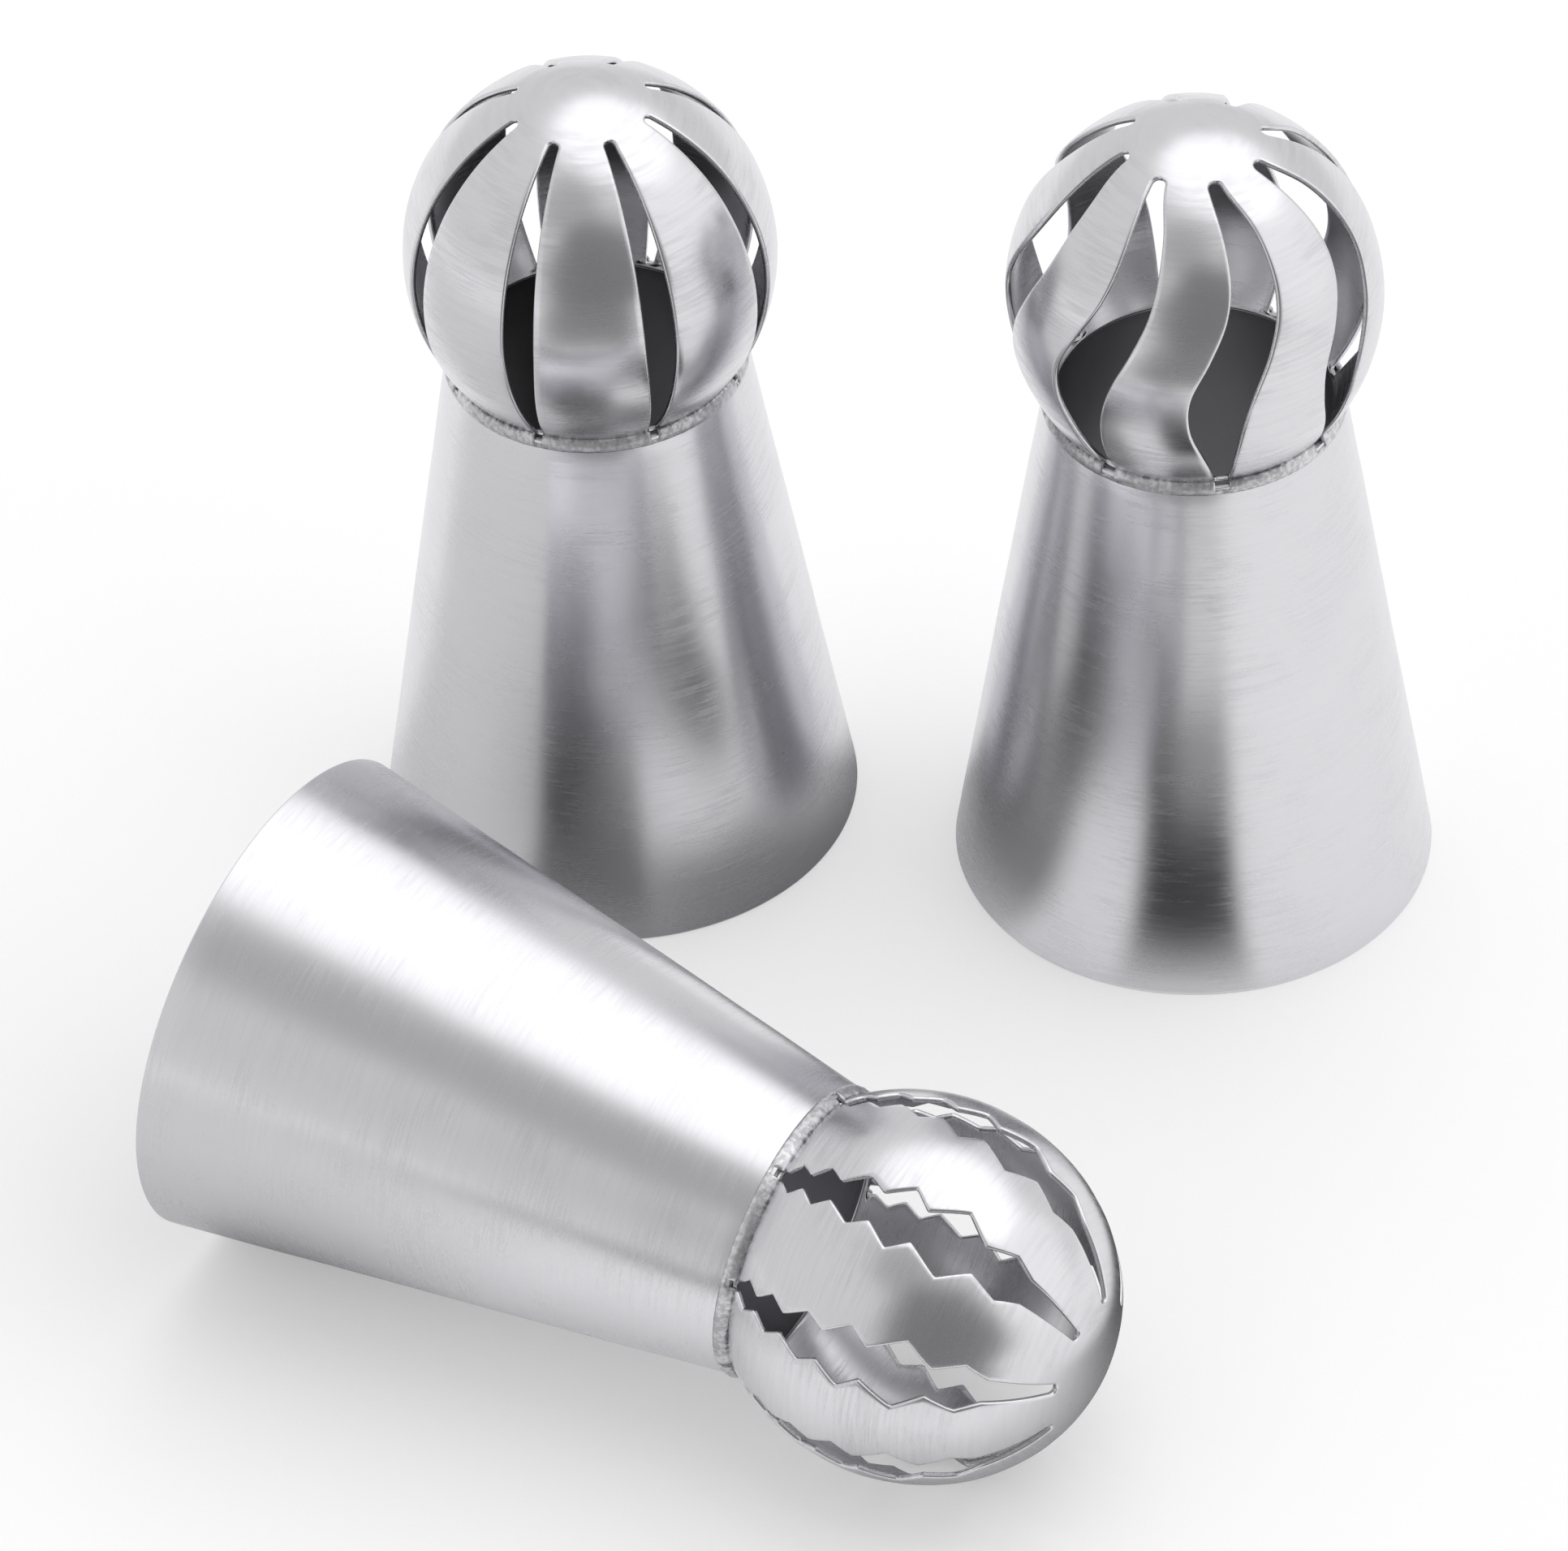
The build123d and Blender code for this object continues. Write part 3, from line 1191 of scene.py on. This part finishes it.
@dataclass
class Studio:
    """The floor, the light and the camera, whose dip and roll are in radians."""

    floor_size: float = 3.0
    floor_grey: float = 0.78
    floor_glow: float = 0.28
    ambient: float = 1.0
    glows: tuple[Glow, ...] = (
        Glow("overhead_soft_box", 135.0, 68.0, 26.0, 38.0, 0.85),
        Glow("right_soft_box", 76.0, 26.0, 26.0, 38.0, 0.38),
        Glow("dark_room_behind_the_camera", 8.0, 14.0, 26.0, 40.0, -0.72),
        Glow("dark_ceiling_at_the_front", -20.0, 58.0, 6.0, 24.0, -0.42),
    )
    # Painted reflections: sheets that only the metal shows, darkening parts of its reflections.
    cards: tuple[ReflectionCard, ...] = (
        ReflectionCard("painted_grey_reflection_at_the_left", "straight", -62.0, 52.0, 6.0 * MM, 400.0 * MM, 0.84, 0.05 * MM),
        ReflectionCard("grey_card_between_the_nozzles", "wave", -86.0, 38.0, 8.0 * MM, 62.0 * MM, 0.34, 0.1 * MM),
        ReflectionCard(
            "dark_card_before_straight_nozzle",
            "straight", -12.0, 24.0, 10.0 * MM, 60.0 * MM, 0.24, 0.15 * MM,
        ),
        ReflectionCard("dark_card_before_wave_nozzle", "wave", -6.0, 23.0, 12.0 * MM, 84.0 * MM, 0.03, 0.2 * MM),
        ReflectionCard("painted_dark_reflection_before_the_set", "straight", 0.0, 32.0, 112.0 * MM, 2.4, 0.28, 0.25 * MM),
    )
    camera_offset: Triple = (10.9627 * MM, -410.0687 * MM, 369.40 * MM)
    camera_dip: float = 0.7336
    camera_roll: float = -0.0435
    focal_length: float = 186.44
    sensor_width: float = 36.0
    clip_start: float = 10.0 * MM

    def floor(self) -> None:
        """Lays a pale floor that keeps the shadows."""
        half = self.floor_size / 2
        corners = ((-half, -half, 0.0), (half, -half, 0.0), (half, half, 0.0), (-half, half, 0.0))
        material = bpy.data.materials.new("pale_floor")
        tree = emptied_tree(material)
        path = tree.add("ShaderNodeLightPath")
        seen = path.part("Is Camera Ray") + path.part("Is Glossy Ray") + path.part("Is Transmission Ray")
        glow = tree.add("ShaderNodeEmission", None, {"Strength": seen * self.floor_glow})
        tree.end_with(tree.add("ShaderNodeAddShader", None, [tree.matt(self.floor_grey), glow]))
        floor = put_in_scene("floor", quad_mesh("floor", corners, material))

    def world(self) -> None:
        """Makes the studio dome from its bright and dark areas. The camera sees it white."""
        world = bpy.data.worlds.new("studio_dome")
        tree = emptied_tree(world)
        looking = tree.add("ShaderNodeTexCoord", None, (), "Generated")
        level = self.ambient
        for glow in self.glows:
            level = level + glow.level(tree, looking)
        camera = tree.add("ShaderNodeLightPath", None, (), "Is Camera Ray")
        strength = camera + (1.0 - camera) * level
        shine = tree.add("ShaderNodeBackground", None, {"Strength": strength})
        tree.end_with(shine, "ShaderNodeOutputWorld")
        bpy.context.scene.world = world

    def camera(self) -> None:
        """Sets up the camera at the photograph's viewing angle."""
        dip, roll = self.camera_dip, self.camera_roll
        ahead = Vector((0.0, math.cos(dip), -math.sin(dip)))
        right, up = Vector((1.0, 0.0, 0.0)), Vector((0.0, math.sin(dip), math.cos(dip)))
        turned_right = right * math.cos(roll) + up * math.sin(roll)
        turned_up = up * math.cos(roll) - right * math.sin(roll)
        axes = Matrix((turned_right, turned_up, -ahead)).transposed()
        data = bpy.data.cameras.new("camera")
        data.lens = self.focal_length
        data.sensor_width = self.sensor_width
        data.clip_start = self.clip_start
        camera = put_in_scene("camera", data)
        spot = Nozzle.foot_of("straight") + Vector(self.camera_offset)
        camera.matrix_world = Matrix.Translation(spot) @ axes.to_4x4()
        bpy.context.scene.camera = camera

    def build(self) -> None:
        """Builds the studio."""
        self.floor()
        self.world()
        self.camera()
        for card in self.cards:
            card.build()
        bpy.context.scene.view_settings.view_transform = "Standard"


# The set
FINISHES = {
    "skirt": SteelFinish("brushed_skirt_steel", wall=InsideWall()),
    "ball": SteelFinish(
        "satin_ball_steel", hair_height=0.0007 * MM, streak_height=0.0028 * MM, mark_strength=0.45
    ),
    "weld": WeldFinish("darkened_weld"),
}
STRAIGHT_OUTLINE = SlotOutline(
    (
        (0.0, 0.0, 0.093),
        (0.25, 0.0, 0.108),
        (0.6, 0.0, 0.111),
        (0.8, 0.0, 0.08),
        (1.0, 0.0, 0.038),
    ),
    EdgeRun.FLOWING,
)
WAVE_OUTLINE = SlotOutline(
    (
        (0.0, 0.029, 0.12),
        (0.13, 0.15, 0.172),
        (0.26, 0.173, 0.185),
        (0.37, 0.124, 0.199),
        (0.485, 0.001, 0.214),
        (0.6, -0.132, 0.218),
        (0.71, -0.174, 0.181),
        (0.825, -0.146, 0.12),
        (0.92, -0.112, 0.08),
        (1.0, -0.09, 0.065),
    ),
    EdgeRun.FLOWING,
)
ZIGZAG_OUTLINE = SlotOutline(
    (
        (0.0, 0.0, 0.09),
        (0.125, 0.0, 0.107),
        (0.21, 0.0, 0.116),
        (0.28, 0.0, 0.204),
        (0.365, 0.0, 0.107),
        (0.445, 0.0, 0.258),
        (0.54, 0.0, 0.116),
        (0.595, 0.0, 0.224),
        (0.665, 0.0, 0.102),
        (0.72, 0.0, 0.18),
        (0.79, 0.0, 0.071),
        (0.84, 0.0, 0.153),
        (0.89, 0.0, 0.053),
        (0.935, 0.0, 0.127),
        (0.975, 0.0, 0.044),
        (1.0, 0.0, 0.04),
    ),
    EdgeRun.ANGULAR,
)


def main() -> None:
    """Builds the set and the studio, and reports each piece."""
    logging.basicConfig(level=logging.INFO, format="%(message)s")
    finishes = {role: finish.make() for role, finish in FINISHES.items()}
    wrapper = Wrapper()
    nozzles = (
        Nozzle("straight", Stance.STANDING, NozzleSizes(37.65 * MM), STRAIGHT_OUTLINE, -68.12, 11),
        Nozzle("wave", Stance.STANDING, NozzleSizes(38.25 * MM), WAVE_OUTLINE, -79.1, 12),
        Nozzle("zigzag", Stance.LYING, NozzleSizes(38.5 * MM), ZIGZAG_OUTLINE, 22.3, 13),
    )
    for nozzle in nozzles:
        for piece in nozzle.build(wrapper, finishes):
            LOG.info("built %s with %d faces", piece.name, len(piece.data.polygons))
    Studio().build()


if __name__ == "__main__":
    main()
